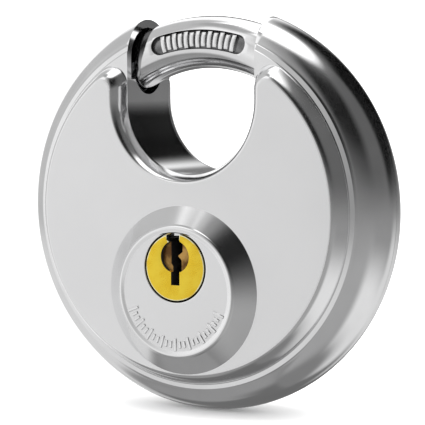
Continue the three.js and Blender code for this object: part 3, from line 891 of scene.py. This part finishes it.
def padCutter(padY):
    # flattens the back of the bar where the drive plate is riveted on
    s = rodSizes
    bm = bmesh.new()
    inner = rodPath - s["padReach"]
    outer = rodPath + s["padReach"]
    corners = [
        clockVector(radius, s["padStart"], y)
        for radius, y in ((inner, padY), (outer, padY), (outer, s["padBack"]), (inner, s["padBack"]))
    ]
    verts, edges = chain(bm, corners, closed=True)
    face = bm.faces.new(verts)
    bmesh.ops.spin(
        bm, geom=[face] + verts + edges, cent=(0, 0, 0), axis=yAxis,
        angle=math.radians(s["end"] + 4 - s["padStart"]), steps=16, use_merge=False, use_duplicate=False,
    )
    bmesh.ops.recalc_face_normals(bm, faces=bm.faces)
    return bm


def rivetCutter(angle, padY):
    s = rodSizes
    place = clockVector(rodPath, angle)
    reach = s["rivetReach"]
    return drumSolid(s["rivetRadius"], padY - reach, padY + reach, place.x, place.z, s["rivetSteps"])


def ribSolid(bm, angle, index):
    # one upright rib: a slice of a slightly thinner bar, standing on the panel's floor
    s = rodSizes
    top = rodRadius - s["ribTop"]
    floor = rodRadius - s["panelDepth"] - s["ribSunk"]
    half = s["ribHalfHeight"] if index % 2 == 0 else s["ribHalfHeight"] * s["shortShare"]
    points = []
    for level, order in ((top, (0, 1, 2, 3, 4)), (floor, (4, 3, 2, 1, 0))):
        for step in order:
            rise = s["panelOutward"] - half + 2 * half * step / 4
            y = -math.sqrt(level ** 2 - rise ** 2)
            points.append(clockVector(rodPath + rise, angle - s["ribAngle"] / 2, y))
    verts, edges = chain(bm, points, closed=True)
    face = bm.faces.new(verts)
    bmesh.ops.spin(
        bm, geom=[face] + verts + edges, cent=(0, 0, 0), axis=yAxis,
        angle=math.radians(s["ribAngle"]), steps=2, use_merge=False, use_duplicate=False,
    )


def shacklePiece():
    s = rodSizes
    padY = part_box("drive_plate")[0].y / mm - 0.05
    bm = bmesh.new()
    steps = round((s["end"] - s["start"]) / s["stepAngle"])
    rodTube(bm, rodRadius, s["start"], s["end"], steps, s["sides"])
    roundEnds(bm, s["endRound"], 4)
    places = [s["padStart"] + 1 + s["rivetInset"], s["end"] - s["rivetInset"]]
    bm = subtract(bm, panelCutter(), padCutter(padY), *[rivetCutter(angle, padY) for angle in places])

    def onPanel(vert):
        clock = math.degrees(math.atan2(vert.co.x, vert.co.z))
        return vert.co.y < -1 and abs(clock) < s["panelHalfAngle"] + 5

    lip = [
        edge for edge in bm.edges
        if edge.calc_face_angle(0) > 0.6
        and all(onPanel(vert) and distanceFromPath(vert.co) > rodRadius - 0.05 for vert in edge.verts)
    ]
    roundEdges(bm, lip, s["panelRound"], 2)
    bmesh.ops.recalc_face_normals(bm, faces=bm.faces)
    for face in bm.faces:
        middle = face.calc_center_median()
        if distanceFromPath(middle) < rodRadius - 0.2 and onPanel(face.verts[0]) and face.normal.y < 0.2:
            face.material_index = 2
    ribs = bmesh.new()
    for index in range(s["ribCount"]):
        angle = -s["ribHalfAngle"] + 2 * s["ribHalfAngle"] * index / (s["ribCount"] - 1)
        ribSolid(ribs, angle, index)
    bmesh.ops.recalc_face_normals(ribs, faces=ribs.faces)
    sharp = [edge for edge in ribs.edges if edge.calc_face_angle(0) > 0.8]
    roundEdges(ribs, sharp, s["ribRound"], 2)
    for face in ribs.faces:
        face.material_index = 1
    addMesh(bm, ribs)
    finishPiece(
        "shackle_bar", bm, [finishes["barSteel"], finishes["markSteel"], finishes["panelSteel"]],
        "shackle_arm", ["shackle"],
    )


shacklePiece()


# ---- plug

plugSizes = {
    "faceRadius": 5.67,
    "bodyRadius": 4.8,
    "faceSink": 0.15,
    "faceDepth": 1.0,
    "faceRound": 0.2,
    "recessRadius": 2.72,
    "recessRise": 1.8,
    "recessDepth": 0.75,
    "recessSteps": 64,
    "edgeRound": 0.2,
    "keywayEnd": -0.6,
    "slotReach": 4.7,
    "slotTop": 5.6,
    "slotHalfWidth": 1.65,
    "tangWidth": 1.6,
    "tangHeight": 5.0,
    "shoulderY": 0.6,
    "pinRadius": 1.02,
    "pinDepth": 6,
    "pinSteps": 32,
    "firstPinY": -9,
    "pinPitch": 2.6,
    "pinCount": 4,
    "steps": 96,
}

# the key's slot, in x and z from the plug's axis, with one ward standing in from the right
keywayOutline = [
    (-1.6, 6.7), (0.9, 6.7), (0.9, 4.5), (1.1, 4.3), (1.1, 2.6), (0.2, 1.9), (0.88, 1.2), (0.88, -3),
    (-0.76, -3), (-0.76, 0.1), (-1.1, 0.6), (-1.1, 4.3), (-1.6, 4.6),
]


def prismCutter(outline, frontY, backY):
    bm = bmesh.new()
    verts, edges = chain(bm, [(x, frontY, z) for x, z in outline], closed=True)
    face = bm.faces.new(verts)
    swept = bmesh.ops.extrude_face_region(bm, geom=[face])
    bmesh.ops.translate(bm, vec=(0, backY - frontY, 0), verts=vertsOf(swept["geom"]))
    bmesh.ops.recalc_face_normals(bm, faces=bm.faces)
    return bm


def plugPiece():
    s = plugSizes
    faceY = bossFaceY + s["faceSink"]
    backY = plugHigh.y / mm
    halfTang = s["tangWidth"] / 2
    bm = bmesh.new()
    rounding = s["faceRound"]
    profile = [
        (0, faceY),
        (s["faceRadius"] - rounding, faceY),
        (s["faceRadius"] - rounding * 0.3, faceY + rounding * 0.3),
        (s["faceRadius"], faceY + rounding),
        (s["faceRadius"], faceY + s["faceDepth"]),
        (s["bodyRadius"], faceY + s["faceDepth"]),
        (s["bodyRadius"], backY),
        (0, backY),
    ]
    turn(bm, profile, 0, plugZ, s["steps"], closed=False)
    tidyMesh(bm)
    slot = [(x, z + plugZ) for x, z in keywayOutline]
    cutters = [
        prismCutter(slot, faceY - 1, s["keywayEnd"]),
        drumSolid(
            s["recessRadius"], faceY - 1, faceY + s["recessDepth"], 0, plugZ + s["recessRise"],
            s["recessSteps"],
        ),
    ]
    # the back end keeps only the tang that drives the crank
    for side in (-1, 1):
        near = side * halfTang
        far = side * (s["bodyRadius"] + 1)
        reach = side * s["tangHeight"] / 2
        cutters.append(prismCutter(
            [(near, plugZ - 8), (far, plugZ - 8), (far, plugZ + 8), (near, plugZ + 8)],
            s["shoulderY"], backY + 1,
        ))
        cutters.append(prismCutter(
            [(-halfTang - 0.01, plugZ + reach), (halfTang + 0.01, plugZ + reach),
             (halfTang + 0.01, plugZ + far), (-halfTang - 0.01, plugZ + far)],
            s["shoulderY"], backY + 1,
        ))
    for index in range(s["pinCount"]):
        hole = bmesh.new()
        made = bmesh.ops.create_cone(
            hole, cap_ends=True, segments=s["pinSteps"], radius1=s["pinRadius"],
            radius2=s["pinRadius"], depth=s["pinDepth"],
        )
        pinY = s["firstPinY"] + index * s["pinPitch"]
        bmesh.ops.translate(hole, vec=(0, pinY, plugZ - s["pinDepth"] / 2), verts=made["verts"])
        cutters.append(hole)
    bm = subtract(bm, *cutters)
    lip = [
        edge for edge in bm.edges
        if edge.calc_face_angle(0) > 0.8 and all(abs(vert.co.y - faceY) < 0.01 for vert in edge.verts)
    ]
    roundEdges(bm, lip, s["edgeRound"], 2)
    bmesh.ops.recalc_face_normals(bm, faces=bm.faces)
    floorY = faceY + s["recessDepth"]
    # painted shade in the keyhole: the recess floor takes the darker brass, and the recess wall and the
    # keyway's walls behind the face take the near-black finish
    for face in bm.faces:
        middle = face.calc_center_median()
        away = math.hypot(middle.x, middle.z - plugZ - s["recessRise"])
        onFloor = away < s["recessRadius"] and abs(middle.y - floorY) < 0.01
        onWall = abs(away - s["recessRadius"]) < 0.02 and middle.y < floorY
        fromAxis = math.hypot(middle.x, middle.z - plugZ)
        besideSlot = fromAxis < s["slotTop"] and abs(middle.x) < s["slotHalfWidth"]
        inSlot = fromAxis < s["slotReach"] or (besideSlot and abs(face.normal.y) < 0.5)
        if middle.y < faceY + s["edgeRound"] * 1.2:
            continue
        if onFloor and abs(face.normal.y) > 0.9:
            face.material_index = 1
        elif onWall or (middle.y < s["keywayEnd"] + 0.01 and inSlot):
            face.material_index = 2
    finishPiece(
        "plug_turned", bm, [finishes["plugBrass"], finishes["paintedShadeBrass"], finishes["paintedShadeBlack"]],
        "plug_group", ["plug"],
    )


plugPiece()


# ---- the pieces inside, with their edges broken

innerPieces = {
    "core_block": {"finish": "castZinc", "slot": "cast_zinc", "round": 0.25},
    "backing_plate": {"finish": "hardSteel", "slot": "hard_steel", "round": 0.12},
    "backing_screw": {"finish": "hardSteel", "slot": "hard_steel", "round": 0.12},
    "pivot_post": {"finish": "hardSteel", "slot": "hard_steel", "round": 0.12},
    "pivot_washer": {"finish": "bodyBrass", "slot": "body_brass", "round": 0.08},
    "lock_cylinder": {"finish": "bodyBrass", "slot": "body_brass", "round": 0.12},
    "cylinder_screw": {"finish": "hardSteel", "slot": "hard_steel", "round": 0.12},
    "pin_cover": {"finish": "plugBrass", "slot": "plug_brass", "round": 0.08},
    "drive_plate": {"finish": "hardSteel", "slot": "hard_steel", "round": 0.12},
    "shackle_rivet": {"finish": "hardSteel", "slot": "hard_steel", "round": 0.15},
    "crank_arm": {"finish": "hardSteel", "slot": "hard_steel", "round": 0.12},
    "crank_pin": {"finish": "hardSteel", "slot": "hard_steel", "round": 0.15},
    "crank_screw": {"finish": "hardSteel", "slot": "hard_steel", "round": 0.08},
    "key_pin": {"finish": "plugBrass", "slot": "plug_brass", "round": 0.12},
    "driver_pin": {"finish": "hardSteel", "slot": "hard_steel", "round": 0.1},
    "pin_spring": {"finish": "springSteel", "slot": "spring_steel", "round": 0},
}

innerLook = {
    "sharpAngle": 35,
    "flatAngle": 0.5,
    "roundSteps": 2,
    "paintedShadeDepth": 0.3,
    "pinTravel": 0.0015,
}


def innerPiece(nodeName, node, family):
    s = innerPieces[family]
    bm = bmesh.new()
    bm.from_mesh(node.data)
    bmesh.ops.translate(bm, vec=-discCentre, verts=bm.verts)
    bmesh.ops.scale(bm, vec=(1 / mm, 1 / mm, 1 / mm), verts=bm.verts)
    bmesh.ops.remove_doubles(bm, verts=bm.verts, dist=0.002)
    bmesh.ops.dissolve_limit(
        bm, angle_limit=math.radians(innerLook["flatAngle"]), use_dissolve_boundaries=False,
        verts=bm.verts, edges=bm.edges, delimit=set(),
    )
    bmesh.ops.recalc_face_normals(bm, faces=bm.faces)
    limit = math.radians(innerLook["sharpAngle"])
    sharp = [
        edge for edge in bm.edges
        if len(edge.link_faces) == 2 and edge.calc_face_angle_signed(0) > limit
    ]
    if s["round"]:
        roundEdges(bm, sharp, s["round"], innerLook["roundSteps"])
    looks = [finishes[s["finish"]]]
    if nodeName == "lock_cylinder":
        # painted shade behind the key's slot: the front of the cylinder takes the near-black finish
        looks.append(finishes["paintedShadeBlack"])
        frontY = min(vert.co.y for vert in bm.verts)
        for face in bm.faces:
            if face.calc_center_median().y < frontY + innerLook["paintedShadeDepth"]:
                face.material_index = 1
    body = next(name for name, empty in frame["bodies"].items() if empty == node.parent)
    piece = finishPiece(f"{nodeName}_fine", bm, looks, body, [nodeName])
    if family == "pin_spring":
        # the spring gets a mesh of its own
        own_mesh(piece)


for nodeName, node in frame["nodes"].items():
    if node.hide_render:
        continue
    family = nodeName if nodeName in innerPieces else nodeName.rsplit("_", 1)[0]
    innerPiece(nodeName, node, family)
print("inner pieces made")


# ---- camera

cameraLook = {
    "azimuth": 29.62,
    "elevation": 4.29,
    "roll": -0.286,
    "distance": 302.05,
    "aside": 0.28,
    "above": -0.82,
    "lens": 147.68,
}


def placeCamera():
    s = cameraLook
    yaw = math.radians(s["azimuth"])
    pitch = math.radians(s["elevation"])
    data = bpy.data.cameras.new("camera")
    data.lens = s["lens"]
    data.sensor_width = 36
    camera = bpy.data.objects.new("camera", data)
    bpy.context.scene.collection.objects.link(camera)
    level = Matrix.Rotation(yaw, 4, "Z") @ Matrix.Rotation(math.pi / 2 - pitch, 4, "X")
    turned = level @ Matrix.Rotation(math.radians(s["roll"]), 4, "Z")
    shift = Vector((s["aside"], s["above"], s["distance"])) * mm
    camera.matrix_world = Matrix.Translation(discCentre + level.to_3x3() @ shift) @ turned
    bpy.context.scene.camera = camera


placeCamera()


# ---- studio: what the metal mirrors, a soft overhead light and a pale floor

studioLook = {
    "ambient": 2.0,
    "wall": 0.55,
    "sunStrength": 1.0,
    "sunAngle": 60,
    "floorSize": 1.6,
}

# cards and flags round the object: azimuth from the front towards the right, elevation, half
# sizes, softness and brightness, laid one over the other
studioCards = [
    {"azimuth": 87, "elevation": 0, "wide": 93, "high": 100, "soft": 8, "light": 0.3},
    {"azimuth": 100, "elevation": 33, "wide": 84, "high": 32, "soft": 14, "light": 0.115},
    {"azimuth": 35, "elevation": -38, "wide": 42, "high": 24, "soft": 10, "light": 0.39},
    {"azimuth": 165, "elevation": -22, "wide": 27, "high": 13, "soft": 7, "light": 0.7},
    {"azimuth": 118, "elevation": -44, "wide": 48, "high": 19, "soft": 13, "light": 0.8},
    {"azimuth": -60, "elevation": -25, "wide": 60, "high": 16, "soft": 4, "light": 0.73},
    {"azimuth": -48, "elevation": 5, "wide": 22, "high": 22, "soft": 14, "light": 0.92},
    {"azimuth": -38, "elevation": 45, "wide": 18, "high": 16, "soft": 7, "light": 1.05},
    {"azimuth": -135, "elevation": -2, "wide": 16, "high": 24, "soft": 5, "light": 1.2},
    {"azimuth": -145, "elevation": 50, "wide": 20, "high": 26, "soft": 6, "light": 1.2},
    {"azimuth": -95, "elevation": -70, "wide": 95, "high": 28, "soft": 5, "light": 0.165},
    {"azimuth": -58, "elevation": -60, "wide": 56, "high": 17, "soft": 8, "light": 0.31},
    {"azimuth": -156, "elevation": -42, "wide": 16, "high": 26, "soft": 5, "light": 0.16},
    {"azimuth": 90, "elevation": -80, "wide": 92, "high": 13, "soft": 6, "light": 0.23},
    {"azimuth": 0, "elevation": 90, "wide": 400, "high": 23, "soft": 5, "light": 1.5},
    {"azimuth": -60, "elevation": 68, "wide": 32, "high": 9, "soft": 5, "light": 0.42},
    {"azimuth": 46, "elevation": 38, "wide": 30, "high": 21, "soft": 14, "light": 0.0},
    {"azimuth": 158, "elevation": 30, "wide": 33, "high": 26, "soft": 9, "light": 0.0},
    {"azimuth": -151, "elevation": 2, "wide": 7, "high": 30, "soft": 3, "light": 0.2},
]


def cardMask(tree, azimuth, elevation, card):
    aside = mathNode(tree, "SUBTRACT", azimuth, math.radians(card["azimuth"]))
    aside = mathNode(tree, "ABSOLUTE", mathNode(tree, "WRAP", aside, math.pi, -math.pi))
    above = mathNode(tree, "SUBTRACT", elevation, math.radians(card["elevation"]))
    above = mathNode(tree, "ABSOLUTE", above)
    masks = []
    for offset, half in ((aside, card["wide"]), (above, card["high"])):
        full = math.radians(half - card["soft"])
        gone = math.radians(half + card["soft"])
        masks.append(rangeNode(tree, offset, full, gone, 1.0, 0.0, kind="SMOOTHSTEP"))
    return mathNode(tree, "MULTIPLY", *masks)


def buildStudio():
    world = bpy.data.worlds.new("studio")
    bpy.context.scene.world = world
    world.use_nodes = True
    tree = world.node_tree
    background = tree.nodes["Background"]
    direction = tree.nodes.new("ShaderNodeSeparateXYZ")
    tree.links.new(tree.nodes.new("ShaderNodeTexCoord").outputs["Generated"], direction.inputs[0])
    x, y, z = direction.outputs
    azimuth = mathNode(tree, "ARCTAN2", x, mathNode(tree, "MULTIPLY", y, -1))
    elevation = mathNode(tree, "ARCSINE", z)
    light = studioLook["wall"]
    for card in studioCards:
        light = mixNumber(tree, cardMask(tree, azimuth, elevation, card), light, card["light"])
    # only mirrored rays see the cards: what is seen directly, and the floor's light, stay even
    path = tree.nodes.new("ShaderNodeLightPath")
    final = mixNumber(tree, path.outputs["Is Glossy Ray"], studioLook["ambient"], light)
    tree.links.new(final, background.inputs["Color"])


def addSun():
    data = bpy.data.lights.new("overhead", "SUN")
    data.energy = studioLook["sunStrength"]
    data.angle = math.radians(studioLook["sunAngle"])
    sun = bpy.data.objects.new("overhead", data)
    bpy.context.scene.collection.objects.link(sun)
    sun.visible_glossy = False


def addFloor():
    half = studioLook["floorSize"] / 2
    bm = bmesh.new()
    bmesh.ops.create_grid(bm, x_segments=1, y_segments=1, size=half)
    floor = asObject("floor", bm)
    floor.data.transform(Matrix.Translation((0, 0, cadBox[0].z)))
    paper = bpy.data.materials.new("paleFloor")
    paper.use_nodes = True
    shader = paper.node_tree.nodes["Principled BSDF"]
    socketValue(shader, "Base Color", (0.93, 0.93, 0.93, 1))
    socketValue(shader, "Roughness", 0.9)
    socketValue(shader, "Specular IOR Level", 0.1)
    floor.data.materials.append(paper)
    floor.visible_glossy = False


buildStudio()
addSun()
addFloor()
bpy.context.scene.view_settings.view_transform = "Standard"
print("studio ready")
